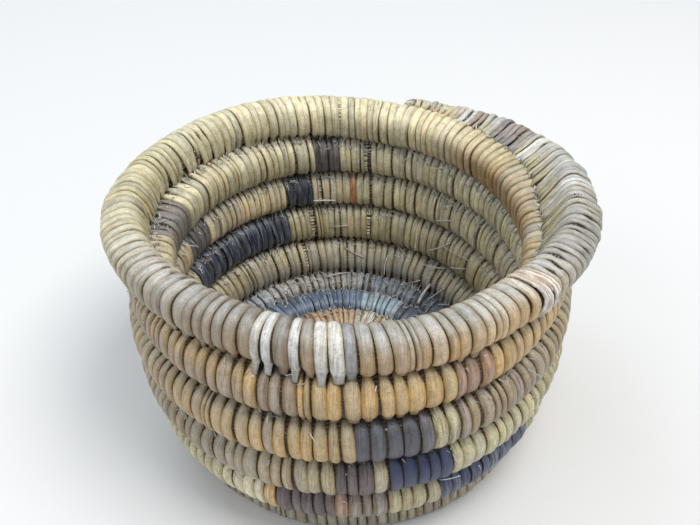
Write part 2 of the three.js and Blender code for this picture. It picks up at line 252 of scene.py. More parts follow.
# Runs of special splints: from turn, to turn, colour, streak colour, streak share
RUNS = [
    (0.95, 1.3, "rust", "brown", 0.3), (1.84, 1.95, "pale_blue", "tan", 0.4),
    (1.95, 2.03, "tan", "chalk", 0.6), (2.03, 2.13, "rust", "brown", 0.35),
    (2.13, 2.22, "rust_brown", "brown", 0.4), (2.85, 2.96, "blue_slate", "slate", 0.5),
    (2.96, 3.03, "pale_blue", "blue_slate", 0.35), (3.03, 3.19, "blue_slate", "blue_grey", 0.5),
    (3.89, 3.955, "blue_slate", "slate", 0.5), (3.955, 4.02, "slate_blue", "blue_grey", 0.4),
    (5.462, 5.499, "cream", "tan", 0.25), (5.498, 5.51, "orange", "brown", 0.2),
    (5.509, 5.546, "plum", "dark", 0.5), (5.546, 5.561, "pink", "brown", 0.4),
    (5.561, 5.584, "mottled", "brown", 0.5), (5.584, 5.628, "straw", "tan", 0.4),
    (5.628, 5.66, "indigo", "scratch", 0.2), (5.66, 5.706, "worn_indigo", "scratch", 0.4),
    (6.12, 6.251, "blue_black", "scratch", 0.3), (6.552, 6.563, "plum", "dark", 0.6),
    (6.563, 6.57, "plum_gold", "dark", 0.5), (6.57, 6.58, "plum", "dark", 0.6),
    (6.58, 6.587, "straw", "tan", 0.4), (6.587, 6.625, "indigo", "worn_indigo", 0.3),
    (6.625, 6.70, "hay", "tan", 0.25), (7.042, 7.049, "bright_orange", "brown", 0.4),
    (7.088, 7.12, "blue_black", "scratch", 0.25), (7.227, 7.26, "slate_brown", "dark", 0.4),
    (7.565, 7.603, "slate", "dark", 0.4), (7.603, 7.61, "slate_brown", "dark", 0.6),
    (7.61, 7.626, "straw", "dark", 0.4), (7.626, 7.64, "plum_gold", "plum", 0.6),
    (7.672, 7.682, "plum_gold", "plum", 0.6), (8.057, 8.086, "slate_brown", "dark", 0.6),
    (8.258, 8.312, "slate_brown", "mottled", 0.7), (8.505, 8.524, "tan", "brown", 0.4),
    (8.626, 8.651, "pink", "brown", 0.35), (9.499, 9.504, "chalk", "dull", 0.3),
    (9.507, 9.514, "chalk", "dull", 0.3), (9.526, 9.532, "chalk", "tan", 0.4),
    (9.537, 9.544, "chalk", "dull", 0.3), (9.548, 9.556, "chalk", "dull", 0.3),
    (9.557, 9.567, "slate_blue", "grey", 0.7), (9.688, 9.698, "amber", "chalk", 0.8),
    (9.803, 9.813, "chalk", "dull", 0.6), (9.832, 9.84, "chalk", "dull", 0.6),
    (9.872, 9.882, "chalk", "dull", 0.3), (9.886, 9.915, "mottled", "slate_brown", 0.8),
    (9.935, 9.944, "mottled", "rust_brown", 0.6), (9.944, 9.952, "chalk", "dull", 0.3),
]


# How sharply the top's colour gives way to those of the two sides
TOP_POWER = 1.5


def outer_share(angle):
    """1 on the section's outer side, 0 on its inner side."""
    return 0.5 + 0.5 * np.cos(angle)


def natural_tint(turn, angle):
    """The splint's colour at angles round the section, blended from outer, top and inner side."""
    k = min(int(np.searchsorted(NATURAL_TURNS, turn, side="right")) - 1, len(NATURAL) - 2)
    f = (turn - NATURAL_TURNS[k]) / (NATURAL_TURNS[k + 1] - NATURAL_TURNS[k])
    outer, top, inner = NATURAL_SIDES[k] * (1 - f) + NATURAL_SIDES[k + 1] * f
    up = np.clip(np.sin(angle), 0, 1)[..., None] ** TOP_POWER
    side = outer_share(angle)[..., None]
    return (side * outer + (1 - side) * inner) * (1 - up) + top * up


# Each stitch's width along the middle of the coil
PITCH = [
    (0, 1.7), (1, 2.0), (3, 2.15), (4, 2.3), (5, 2.55), (5.3, 2.9), (5.55, 3.1), (5.8, 2.7),
    (6.06, 2.5), (6.3, 2.8), (6.55, 3.2), (6.8, 2.7), (7.06, 2.5), (7.3, 2.9), (7.55, 3.3),
    (7.8, 2.8), (8.06, 2.5), (8.3, 3.0), (8.5, 3.5), (8.7, 3.3), (8.9, 2.6), (9.1, 2.5),
    (9.3, 2.8), (9.5, 3.1), (9.62, 3.2), (9.72, 2.5), (9.8, 2.1), (TURNS, 2.1),
]
NARROWEST, WIDEST, LEAST_WIDTH = 0.76, 1.22, 0.9
FIRST_STITCH, COIL_END = 0.03, TURNS - 0.004
# Places where the stitches part and stems show in the gap, and how wide it is
LADDERS = [5.104, 6.028, 6.092, 7.082, 8.032, 9.057]
LADDER_GAP = 1.5
# Two narrow splints in the place of one: how often, between which turns, how wide each is
PAIR_SHARE, PAIRS_FROM, PAIRS_TO, PAIR_WIDTH, PAIR_IDS = 0.07, 1, 9.9, 0.52, 5000


def plan_stitches():
    """Every stitch along the coil: its turn, its width in turns and its run."""
    stitches = []
    turn = FIRST_STITCH
    while turn < COIL_END:
        pitch = look_up(PITCH, turn) * rng.uniform(NARROWEST, WIDEST)
        length = math.tau * out_at(turn)
        step, gap = pitch / length, LADDER_GAP / length
        place = next((p for p in LADDERS if turn < p <= turn + step), None)
        if place is not None:
            step = place - gap / 2 - turn
            if step * length < LEAST_WIDTH:
                turn = place + gap / 2
                continue
        middle = turn + step / 2
        turn += step if place is None else step + gap
        run = next((r for r in RUNS if r[0] <= middle < r[1]), None)
        stitch = {"turn": middle, "width": step, "run": run, "id": len(stitches)}
        if rng.random() < PAIR_SHARE and run is None and PAIRS_FROM < middle < PAIRS_TO:
            for side in (-1, 1):
                half = dict(stitch)
                half["turn"] = middle + side * step / 4
                half["width"] = step * PAIR_WIDTH
                half["id"] = stitch["id"] * 2 + side + PAIR_IDS
                stitches.append(half)
        else:
            stitches.append(stitch)
    return stitches


# A splint's section: places across it, as shares of half its width, on its face and underneath
ACROSS = np.array([-1, -0.9, -0.62, -0.3, 0, 0.3, 0.62, 0.9, 1])
UNDER = np.array([0.9, -0.9])
SECTION = np.concatenate([ACROSS, UNDER])
# The heights of its edges and its underside over its bed, and how broad its crown is
EDGE_HEIGHT, UNDER_HEIGHT, CROWN_POWER = 0.36, -0.3, 3.2
ON_FACE = np.arange(len(SECTION)) < len(ACROSS)
FLAT_HEIGHTS = np.where(ON_FACE, EDGE_HEIGHT, UNDER_HEIGHT)
CROWN_SHARES = np.where(ON_FACE, 1 - np.abs(SECTION) ** CROWN_POWER, 0)
# Its way round the coil, in degrees from the turn before, into which its ends dive
END_ANGLES = np.array([14, 18, 23, 29])
END_DIVES = np.array([0.36, 0.19, 0.07, 0])
RINGS_BETWEEN = 21
EVEN_ANGLES = np.linspace(END_ANGLES[-1], 360 - END_ANGLES[-1], RINGS_BETWEEN + 2)[1:-1]
WRAP = np.concatenate([END_ANGLES, EVEN_ANGLES, 360 - END_ANGLES[::-1]])
TURNED = np.radians(WRAP)
DIVE = np.concatenate([END_DIVES, np.zeros(RINGS_BETWEEN), END_DIVES[::-1]])


def grid_faces(rings, sides):
    """Quads over a closed tube of rings, with its two caps, as flat corners and face sizes."""
    ring, side = np.arange(rings - 1)[:, None] * sides, np.arange(sides)
    near, following = ring + side, ring + (side + 1) % sides
    quads = np.stack([near, following, following + sides, near + sides], -1).reshape(-1)
    caps = np.concatenate([side[::-1], (rings - 1) * sides + side])
    sizes = np.concatenate([np.full((rings - 1) * sides, 4), [sides, sides]])
    return np.concatenate([quads, caps]), sizes


STITCH_FACES = grid_faces(len(WRAP), len(SECTION))


def layered(shape, *layers):
    """An array over a grid of points that holds each layer as one of its values."""
    return np.stack([np.broadcast_to(layer, shape) for layer in layers], -1)


def plain_part(points, faces, colour, streak, share, fibre):
    """A part of one colour, with streaks of another that show by that share."""
    tint = np.broadcast_to(colour, points.shape)
    return points, faces, tint, layered(points.shape[:2], *streak, share), fibre


# The rim's stitches that reach on over the turn inside: how much of them, and where they end
BRIDGE = [
    (9.1, 0), (9.2, 0.75), (9.42, 0.75), (9.5, 0), (9.6, 0), (9.69, 0.9), (9.985, 0.9),
    (TURNS, 0.5),
]
BRIDGE_END = [(9.1, 0.95), (9.5, 0.95), (9.62, 0.62), (TURNS, 0.62)]
BRIDGE_VARIES = (-0.12, 0.06)
# The stitches' first ends on the turn before: from which turn, how much, where they end
TAILS_FROM, TAIL_LAID, RIM_TAIL_LAID = 5, 0.7, 0.95
TAIL_END, WHITE_TAIL_END = (0.84, 0.99), (0.62, 0.85)
# Degrees round the stitch from which its last part is laid, and up to which its first is
BRIDGE_FROM, TAIL_TO = 272, 52
# How far a laid end goes under the surface, how far it sags, and how far its tip is tucked in
LAID_UNDER, LAID_SAG, TIP_TUCKED = 0.2, 0.3, 1.9


def laid_over(t, bed, outwards, picked, side, end, share):
    """Lay a splint's last rings straight on to the turn before, instead of round the coil."""
    down = down_at(t)
    before = radius_at(t - 1)
    apart = math.hypot(out_at(t) - out_at(t - 1), up_at(t) - up_at(t - 1))
    along = np.array([math.cos(down), math.sin(down)])
    across = np.array([-math.sin(down), math.cos(down)]) * side
    f = np.linspace(0, 1, len(picked))
    first = bed[picked[0]]
    power = look_up(SQUARENESS, t - 1)
    height = before * max(0.0, 1 - end**power) ** (1 / power) - LAID_UNDER
    far = apart - before * end
    x = first @ along + (far - first @ along) * f
    h = first @ across + (height - first @ across) * f - LAID_SAG * np.sin(math.pi * f)
    h = h - TIP_TUCKED * ease(0.8, 1.05, f)
    laid = along * x[:, None] + across * h[:, None]
    part = (share * ease(0, 0.15, f))[:, None]
    bed[picked] = bed[picked] * (1 - part) + laid * part
    outwards[picked] = outwards[picked] * (1 - part) + across * part


def wrapped_path(t, angle, crown, lift, white):
    """The splint's bed round the coil: places in the section plane, and which way is out."""
    radius = radius_at(t)
    reach = (radius + lift - EDGE_HEIGHT - crown) * squareness(t, TURNED) + DIVE * radius
    outwards = np.stack([np.cos(angle), np.sin(angle)], -1)
    bed = reach[:, None] * outwards
    over = look_up(BRIDGE, t)
    if over > 0:
        end = look_up(BRIDGE_END, t) + rng.uniform(*BRIDGE_VARIES)
        laid_over(t, bed, outwards, np.where(WRAP >= BRIDGE_FROM)[0], -1, end, over)
    if t > TAILS_FROM:
        end = rng.uniform(*(WHITE_TAIL_END if white else TAIL_END))
        share = RIM_TAIL_LAID if t > RIM_TURN else TAIL_LAID
        laid_over(t, bed, outwards, np.where(WRAP <= TAIL_TO)[0][::-1], 1, end, share)
    return bed, outwards, over


# Dark openings between two stitches: turn, angle in the section, depth
SLITS = [
    (9.7267, 87, 0.5), (9.7067, 66, 0.5), (9.7408, 39, 0.5), (9.76, 87, 0.5), (9.3108, 174, 0.5),
    (9.4033, 119, 0.6), (9.425, 132, 0.5), (9.702, 14, 0.8), (9.775, 60, 0.5), (9.79, 95, 0.4),
    (9.81, 75, 0.4), (9.9, 120, 0.4), (9.87, 100, 0.4), (9.3, 150, 0.4), (9.35, 160, 0.5),
    (8.3, 120, 0.5), (9.2, 130, 0.5),
]
# Lumps of the coil: turn, angle in the section, length in turns, height
LUMPS = [(9.693, 30, 0.008, 2.1), (9.982, 110, 0.01, 0.9), (9.955, 120, 0.008, 0.6)]
# How far round the section, in degrees, a slit and a lump reach
SLIT_REACH, LUMP_REACH = 14, 50
# How high the stitches' crowns are, on the inner and on the outer side
CROWN_INNER = [(0, 0.3), (4, 0.36), (9, 0.42), (9.45, 0.5), (9.62, 0.55), (9.75, 0.35), (TURNS, 0.4)]
CROWN_OUTER = [
    (0, 0.3), (4, 0.5), (5.3, 0.6), (7.3, 0.7), (8.5, 0.72), (8.75, 0.6), (9.2, 0.42),
    (9.5, 0.5), (9.62, 0.6), (9.75, 0.4), (TURNS, 0.4),
]
# Their share of width at the seam to the next turn
PINCH_OUTER = [(0, 0.9), (5, 0.8), (6.5, 0.72), (7.3, 0.66), (8.7, 0.6), (9, 0.7), (TURNS, 0.9)]
PINCH_INNER = 0.8
# How much a splint widens with its distance from the axis, and the least such distance
WIDENS, WALL_WIDENS, LEAST_FROM_AXIS = 0.62, 0.85, 2.0
# From where the stitches lie loose, and white ones have short tails
LOOSE_FROM, WHITE_FROM = 9.76, 9.49
# Colours of crumpled splints, and the sum of a colour's parts below which it is a dye
WRINKLED, DYED_SUM = ("blue_black", "worn_indigo"), 0.5


def from_facing(degrees, facing):
    """Angles measured from one direction, between -180 and 180."""
    return (degrees - facing + 180) % 360 - 180


def lift_round(t, degrees):
    """How far the splint lies above its place: by chance, and on the coil's lumps."""
    lift = rng.normal(0, 0.09) + (rng.uniform(-0.3, 0.3) if t > LOOSE_FROM else 0)
    for place, facing, length, height in LUMPS:
        here = height * math.exp(-(((t - place) / length) ** 2))
        lift = lift + here * np.exp(-((from_facing(degrees, facing) / LUMP_REACH) ** 2))
    return lift


def width_round(stitch, side, degrees, over):
    """Shares of the splint's width round the coil, and the degrees from there to the next turn."""
    t = stitch["turn"]
    # It is narrower where it goes into the turn before, and under the next turn.
    ends = rng.uniform(0.5, 0.72)
    full_near = ease(15, 44, WRAP)
    full_far = ease(15, 44, 360 - WRAP)
    full_far = full_far + (1 - full_far) * over * 0.8
    width = ends + (1 - ends) * np.minimum(full_near, full_far)
    near = np.full(len(WRAP), 180.0)
    if t < RIM_TURN:
        contact = math.degrees(float(next_at(t) - down_at(t))) % 360
        near = np.abs(WRAP - contact)
        outer = ease(0.35, 0.75, side)
        pinch = look_up(PINCH_OUTER, t) * outer + PINCH_INNER * (1 - outer)
        pinch = pinch * rng.uniform(0.9, 1.1)
        width = width * (pinch + (1 - pinch) * ease(14, 58, near))
    for place, facing, depth in SLITS:
        if abs(place - t) < stitch["width"]:
            aside = from_facing(degrees, facing)
            width = width * (1 - depth * np.exp(-((aside / SLIT_REACH) ** 2)))
    wave = np.sin(TURNED * 2 + rng.uniform(0, 6))
    width = width * (1 + rng.uniform(-0.04, 0.04) + rng.uniform(-0.07, 0.07) * wave)
    return width, near


def drift_round(t, over, wrinkled):
    """How far the splint wanders along the coil on its way round."""
    slant = 0.5 + rng.normal(0, 0.24 if t > CORNER_TURN else 0.12)
    drift = slant * np.cos(TURNED * 0.5) * 1.3 + rng.normal(0, 0.05) * np.sin(TURNED)
    if over:
        drift = drift - over * 0.7 * ease(BRIDGE_FROM - 40, 350, WRAP)
    if wrinkled:
        drift = drift + rng.normal(0, 0.35) * np.sin(TURNED * rng.uniform(1.5, 3) + rng.uniform(0, 6))
    return drift


def heights(crown, loose):
    """How high each point of the splint lies over its bed, thinner where its ends dive."""
    flutes = np.concatenate([rng.normal(0, 0.03, len(ACROSS)), np.zeros(len(UNDER))])
    height = FLAT_HEIGHTS + crown[:, None] * CROWN_SHARES + flutes
    height = height * (1 - 0.5 * np.minimum(1, DIVE / 0.2))[:, None]
    tilt = rng.normal(0, 0.09) + (rng.normal(0, 0.16) if loose else 0)
    return height + tilt * SECTION


# How the splints' value and warmth vary, and the share that have greyed
VALUE_VARIES, WARMTH_VARIES, GREYED_SHARE = 0.085, 0.02, 0.08
# Painted sheen on the crest, painted shade on sewn ends, and what the edges lose to painted shade and
# the streaks keep of a colour
CREST_SHEEN, SEWN_SHADE = 0.16, 0.45
EDGE_SHADE = np.array([0.26, 0.31, 0.44])
STREAK_LEFT = np.array([0.5, 0.42, 0.34])
# How much of the wear at the seam, of the painted sheen on the crest and of the veil dyed splints
# show
DYED_SEAM, DYED_CREST, DYED_VEIL = 0.35, 0.1, 0.25
SEAMS_WORN_FROM = 3.6


def stitch_colours(stitch, angle, side, near, over, dyed):
    """The run's colour or the natural one, a little different on each splint, its wear, a painted
    sheen on its crest and painted shade on its ends and edges.
    """
    t, run = stitch["turn"], stitch["run"]
    value = rng.normal(1, VALUE_VARIES)
    warm = rng.normal(0, WARMTH_VARIES)
    if run:
        tint = np.repeat([SPLINT[run[2]]], len(WRAP), 0)
        share = run[4]
    else:
        tint = natural_tint(t, angle)
        share = rng.uniform(0.1, 0.34)
    tint = tint * value * np.array([1 + warm, 1, 1 - 1.6 * warm])
    if run is None and rng.random() < GREYED_SHARE:
        mix = rng.uniform(0.2, 0.5)
        tint = tint * (1 - mix) + SPLINT["grey"] * np.mean(tint, 1, keepdims=True) * 2.2 * mix
    if SEAMS_WORN_FROM < t < RIM_TURN:
        worn = (1 - ease(6, 75, near)) * rng.uniform(0.2, 0.8) * (DYED_SEAM if dyed else 1)
        worn = (worn * (0.3 + 0.7 * (1 - ease(0.3, 0.7, side))))[:, None]
        tint = tint * (1 - worn) + SPLINT["white"] * worn
    veil = np.clip(rng.normal(0.08, 0.12), 0, 0.4) * (DYED_VEIL if dyed else 1)
    tint = tint * (1 - veil) + SPLINT["ash"] * veil
    # Painted shade darkens the ends where they dive into the turn before.
    low = ease(46, 18, WRAP) + ease(46, 18, 360 - WRAP) * (1 - over)
    shade = (1 - SEWN_SHADE * np.clip(low, 0, 1))[:, None]
    # A painted sheen makes the crest paler, and painted shade makes the edges darker and more golden.
    crest = CREST_SHEEN * (DYED_CREST if dyed else 1) * (1 - ease(0, 0.7, np.abs(SECTION)))[:, None]
    tint = tint[:, None, :] * (1 - crest) + SPLINT["sheen_cool_white"] * crest
    edges = 1 - EDGE_SHADE * ease(0.5, 1, np.abs(SECTION))[:, None]
    tint = np.clip(tint * shade[..., None] * edges, 0.005, 0.95)
    streak = SPLINT[run[3]] if run else np.mean(tint[len(WRAP) // 3], 0) * STREAK_LEFT
    return tint, layered(tint.shape[:2], *streak, share)


def stitch_geometry(stitch):
    """One crowned splint round the coil, sewn at both ends into the turn before."""
    t = stitch["turn"]
    colour = stitch["run"][2] if stitch["run"] else ""
    dyed = colour != "" and sum(SPLINT[colour]) < DYED_SUM
    wrinkled = colour in WRINKLED
    white = t > WHITE_FROM and colour == "chalk"
    angle = down_at(t) + TURNED
    degrees = (np.degrees(down_at(t)) + WRAP) % 360
    side = outer_share(angle)
    crown = look_up(CROWN_INNER, t) * (1 - side) + look_up(CROWN_OUTER, t) * side
    crown = crown * rng.uniform(0.85, 1.15) * (0.8 if dyed else 1)
    lift = lift_round(t, degrees)
    bed, outwards, over = wrapped_path(t, angle, crown, lift, white)
    width, near = width_round(stitch, side, degrees, over)
    # The splint keeps most of its width, so gaps open on the outside and close on the inside.
    here = out_at(t)
    from_axis = np.maximum(here + bed[:, 0], LEAST_FROM_AXIS)
    widens = WIDENS if t > RIM_TURN or t < CORNER_TURN else WALL_WIDENS
    span = stitch["width"] * math.tau * (here + widens * (from_axis - here))
    span = span * rng.uniform(0.93, 1.0)
    half = span * width / 2
    drift = drift_round(t, over, wrinkled)
    height = heights(crown, wrinkled or t > LOOSE_FROM)
    shift = half[:, None] * SECTION + drift[:, None]
    turns = t + shift / (math.tau * from_axis[:, None])
    out = out_at(turns) + bed[:, :1] + outwards[:, :1] * height
    up = up_at(turns) + bed[:, 1:] + outwards[:, 1:] * height
    tint, streaks = stitch_colours(stitch, angle, side, near, over, dyed)
    way_round = (TURNED * radius_at(t))[:, None]
    fibre = layered(shift.shape, shift, way_round, stitch["id"] * 3.7)
    return placed(turns, out, up), STITCH_FACES, tint, streaks, fibre


def make_object(name, parts, material):
    """One mesh object from many (points, faces, tint, streak, fibre) parts."""
    def joined(k, width):
        return np.concatenate([np.asarray(p[k], float).reshape(-1, width) for p in parts])

    points = joined(0, 3)
    starts = np.cumsum([0] + [p[0].size // 3 for p in parts])
    corners = np.concatenate([p[1][0] + start for p, start in zip(parts, starts)])
    sizes = np.concatenate([p[1][1] for p in parts])
    mesh = bpy.data.meshes.new(name)
    mesh.vertices.add(len(points))
    mesh.vertices.foreach_set("co", points.astype(np.float32).ravel())
    mesh.loops.add(len(corners))
    mesh.loops.foreach_set("vertex_index", corners.astype(np.int32))
    mesh.polygons.add(len(sizes))
    mesh.polygons.foreach_set("loop_start", (np.cumsum(sizes) - sizes).astype(np.int32))
    mesh.polygons.foreach_set("loop_total", sizes.astype(np.int32))
    mesh.polygons.foreach_set("use_smooth", np.ones(len(sizes), bool))
    tint = np.concatenate([joined(2, 3), np.ones((len(points), 1))], 1)
    for label, kind, key, data in (
        ("tint", "FLOAT_COLOR", "color", tint),
        ("streak", "FLOAT_COLOR", "color", joined(3, 4)),
        ("fibre", "FLOAT_VECTOR", "vector", joined(4, 3)),
    ):
        layer = mesh.attributes.new(label, kind, "POINT")
        layer.data.foreach_set(key, data.astype(np.float32).ravel())
    mesh.update(calc_edges=True)
    mesh.validate()
    obj = bpy.data.objects.new(name, mesh)
    bpy.context.scene.collection.objects.link(obj)
    mesh.materials.append(material)
    return obj


def new_material(name):
    """A material, and its tree of nodes."""
    material = bpy.data.materials.new(name)
    material.use_nodes = True
    return material, material.node_tree


def feed(tree, node, sockets):
    """Set a node's sockets to constants, or link them to the outputs of other nodes."""
    for key, value in sockets.items():
        if isinstance(value, bpy.types.NodeSocket):
            tree.links.new(value, node.inputs[key])
        else:
            node.inputs[key].default_value = value


def add_node(tree, kind, sockets, output=0, **settings):
    """The output of a new node."""
    node = tree.nodes.new(kind)
    for key, value in settings.items():
        setattr(node, key, value)
    feed(tree, node, sockets)
    return node.outputs[output]


# How shiny the fibres are, and how deep their grooves look, in metres
SPECULAR, GROOVE_DEPTH = 0.75, 0.00025


def splint_material(name, roughness, gloss_noise, bump):
    """Split plant fibre: the mesh's tint, with lengthwise streaks, specks and fine grooves."""
    material, tree = new_material(name)

    def attribute(label, output):
        return add_node(tree, "ShaderNodeAttribute", {}, output, attribute_name=label)

    def mapped(scale):
        vector = {0: attribute("fibre", "Vector"), 1: scale}
        return add_node(tree, "ShaderNodeVectorMath", vector, operation="MULTIPLY")

    def noise(vector, scale, details, rough=0.6):
        sockets = {"Vector": vector, "Scale": scale, "Detail": details, "Roughness": rough}
        return add_node(tree, "ShaderNodeTexNoise", sockets, "Fac")

    def remap(value, a, b, c, d):
        sockets = {"Value": value, "From Min": a, "From Max": b, "To Min": c, "To Max": d}
        return add_node(tree, "ShaderNodeMapRange", sockets, interpolation_type="SMOOTHSTEP")

    def combine(operation, a, b):
        return add_node(tree, "ShaderNodeMath", {0: a, 1: b}, operation=operation)

    def mix(kind, share, a, b):
        sockets = {0: share, 6: a, 7: b}
        return add_node(tree, "ShaderNodeMix", sockets, 2, data_type="RGBA", blend_type=kind)

    place = add_node(tree, "ShaderNodeTexCoord", {}, "Object")
    coarse = noise(mapped((1.8, 0.12, 1)), 1.0, 4)
    fine = noise(mapped((7.0, 0.35, 1)), 1.0, 3)
    blotch = noise(place, 420.0, 4, 0.65)
    speck = noise(place, 2600.0, 2)
    share = combine("MULTIPLY", remap(coarse, 0.42, 0.68, 0, 1.9), attribute("streak", "Alpha"))
    share = combine("MINIMUM", share, 1.0)
    lined = mix("MIX", share, attribute("tint", "Color"), attribute("streak", "Color"))
    level = remap(fine, 0.25, 0.75, 0.74, 1.22)
    level = combine("MULTIPLY", level, remap(blotch, 0.3, 0.7, 0.82, 1.14))
    level = combine("MULTIPLY", level, remap(speck, 0.56, 0.7, 1.0, 0.55))
    shades = add_node(tree, "ShaderNodeCombineColor", {0: level, 1: level, 2: level})
    height = combine("ADD", fine, combine("MULTIPLY", coarse, 0.8))
    height = combine("ADD", height, combine("MULTIPLY", speck, 0.35))
    grooves = {"Strength": bump, "Distance": GROOVE_DEPTH, "Height": height}
    feed(tree, tree.nodes["Principled BSDF"], {
        "Base Color": mix("MULTIPLY", 1.0, lined, shades),
        "Roughness": remap(blotch, 0.25, 0.75, roughness - gloss_noise, roughness + gloss_noise),
        "Specular IOR Level": SPECULAR,
        "Normal": add_node(tree, "ShaderNodeBump", grooves),
    })
    return material


natural = splint_material("split_fibre", 0.41, 0.12, 0.6)
dyed_fibre = splint_material("dyed_fibre", 0.36, 0.12, 0.7)
rough_fibre = splint_material("rough_fibre", 0.66, 0.1, 0.9)
grass = splint_material("dry_grass", 0.74, 0.08, 0.8)


def place_name(turn):
    if turn < CORNER_TURN:
        return f"base_turn_{turn + 1}"
    if turn == CORNER_TURN:
        return "corner_turn"
    return "rim" if turn == RIM_TURN else f"wall_row_{turn - CORNER_TURN}"


def dyed_nodes():
    """The CAD node of each dyed run, with the turns that it covers."""
    found, counts = [], {}
    for start, end, dye in DYED:
        label = f"{place_name(int(start))}_{dye}_splint"
        counts[label] = counts.get(label, 0) + 1
        found.append((start, end, f"{label}_{counts[label]}", dye))
    return found


def build_stitches():
    """The stitches, joined to one piece for each dyed run, natural turn and the binding."""
    dyed = dyed_nodes()
    groups = {}
    for stitch in plan_stitches():
        t = stitch["turn"]
        owner = next((d for d in dyed if d[0] <= t < d[1]), None)
        if t >= BINDING_FROM:
            key = "rim_end_binding"
        elif owner:
            key = owner[2]
        else:
            key = place_name(int(t))
        groups.setdefault(key, []).append(stitch_geometry(stitch))
    dye_of = {d[2]: d[3] for d in dyed}
    for key, parts in groups.items():
        if key in dye_of:
            piece = make_object(key + "_stitches", parts, dyed_fibre)
            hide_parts(key)
        elif key == "rim_end_binding":
            piece = make_object(key + "_stitches", parts, rough_fibre)
            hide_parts(key)
        else:
            piece = make_object(key + "_stitches", parts, natural)
            prefix = key + "_splint_"
            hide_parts(*[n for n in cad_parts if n.startswith(prefix)])
        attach(piece, "root")


build_stitches()

# The grass bundle: steps, stems round it, points across a stem, twist in radians a turn
CORE_STEPS, STEMS, STEM_POINTS, TWIST = 1300, 36, 3, 9
# How far it lies inside the stitches, how far its stems stand out, how ragged they are
CORE_INSET, STEM_RIDGE, STEM_RAGGED = 0.92, 0.2, 0.05
# The angle over which it is pressed out, and the steps for which a stem keeps its tone
SEAM_ANGLE, TONE_STEPS = 0.27, 10
STEM_DARK, STEM_PALE, STEM_STREAK = (70, 54, 38), (206, 200, 184), (60, 44, 28)


def build_core():
    """The grass bundle: one ridged tube of stems from the knot to the rim's end."""
    sides = STEMS * STEM_POINTS
    turn = np.linspace(0.0, TURNS - 0.001, CORE_STEPS)
    angle = np.arange(sides) / sides * math.tau
    angles = angle + turn[:, None] * TWIST
    turns = np.repeat(turn[:, None], sides, 1)
    ridge = np.cos(angle * STEMS) * STEM_RIDGE
    ragged = rng.normal(0, STEM_RAGGED, (CORE_STEPS, sides))
    # It narrows towards both of its ends.
    cap = np.minimum(1, 0.35 + (TURNS - turn) * 90) * np.minimum(1, 0.4 + turn * 20)
    rel = angles - down_at(turns)
    radius = (radius_at(turns) - CORE_INSET) * squareness(turns, rel) * cap[:, None] + ridge + ragged
    # It is pressed out against its neighbours, so no light comes through the seams.
    has_next = (turns < RIM_TURN) * 1.0
    for contact, share in ((rel, 1.0), (angles - next_at(turns), has_next)):
        off = np.abs(np.mod(contact + math.pi, math.tau) - math.pi)
        radius = radius + share * np.exp(-((off / SEAM_ANGLE) ** 2)) * cap[:, None]
    points = coil_points(turns, angles, radius)
    tone = np.clip(rng.normal(0.6, 0.3, (CORE_STEPS // TONE_STEPS + 1, STEMS)), 0, 1)
    tone = tone.repeat(TONE_STEPS, 0)[:CORE_STEPS].repeat(STEM_POINTS, 1)
    inside = ease(0.35, -0.35, np.cos(angles))
    crest = ease(-0.2, 1, np.cos(angle * STEMS))
    pale = (tone * crest * (0.2 + 0.8 * inside))[..., None]
    tint = linear(STEM_DARK) * (1 - pale) + linear(STEM_PALE) * pale
    streaks = layered(turns.shape, *linear(STEM_STREAK), 0.5)
    fibre = layered(turns.shape, angle * 6, turn[:, None] * 350, 1.5)
    parts = [(points, grid_faces(CORE_STEPS, sides), tint, streaks, fibre)]
    core = make_object("grass_bundle", parts, grass)
    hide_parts("foundation_coil")
    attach(core, "root")


build_core()

# A flat splint: rings along it, and its section
STRIP_STEPS = 9
STRIP_SECTION = np.array([(-1, -0.5), (1, -0.5), (0.8, 0.3), (0, 0.55), (-0.8, 0.3)])
STRIP_FACES = grid_faces(STRIP_STEPS, len(STRIP_SECTION))
# The splints that cross over the knot: how many, rings along each, their section
CROSSINGS, CROSSING_RINGS = 7, 15
CROSSING_PLACES = np.array([-1, -0.6, 0, 0.6, 1, 0.8, -0.8])
CROSSING_HEIGHTS = np.array([0.12, 0.38, 0.5, 0.38, 0.12, -0.3, -0.3])
# The body under them: its shape from the bottom up, points round it, ribs, colour
KNOT_SHAPE = np.array([0.86, 0.97, 1.0, 1.0, 0.98, 0.92, 0.8, 0.55, 0.2])
KNOT_SIDES, KNOT_RIBS = 56, 14
KNOT_BODY = (128, 104, 72)
# Splints that reach in from the first turn
SPOKES = 44


def crossing_splint(i):
    """A splint over the knot, a little higher than the one before it."""
    lay = i * math.pi / CROSSINGS + rng.uniform(-0.1, 0.1)
    half = rng.uniform(0.55, 0.8)
    along = np.linspace(-1, 1, CROSSING_RINGS)[:, None]
    x = np.repeat(along * KNOT_RADIUS * 1.02, len(CROSSING_PLACES), 1)
    y = CROSSING_PLACES * half * (1 - 0.35 * along**2)
    z = KNOT_HEIGHT - 1.1 - 1.9 * np.abs(along) ** 3 + CROSSING_HEIGHTS + i * 0.06
    px = AXIS[0] + x * math.cos(lay) - y * math.sin(lay)
    py = AXIS[1] + x * math.sin(lay) + y * math.cos(lay)
    points = np.stack([px, py, z], -1) * MM
    colour = SPLINT["tan"] * rng.uniform(0.8, 1.15)
    fibre = layered(z.shape, y, x, 40 + i)
    return plain_part(points, grid_faces(*z.shape), colour, SPLINT["brown"], 0.3, fibre)


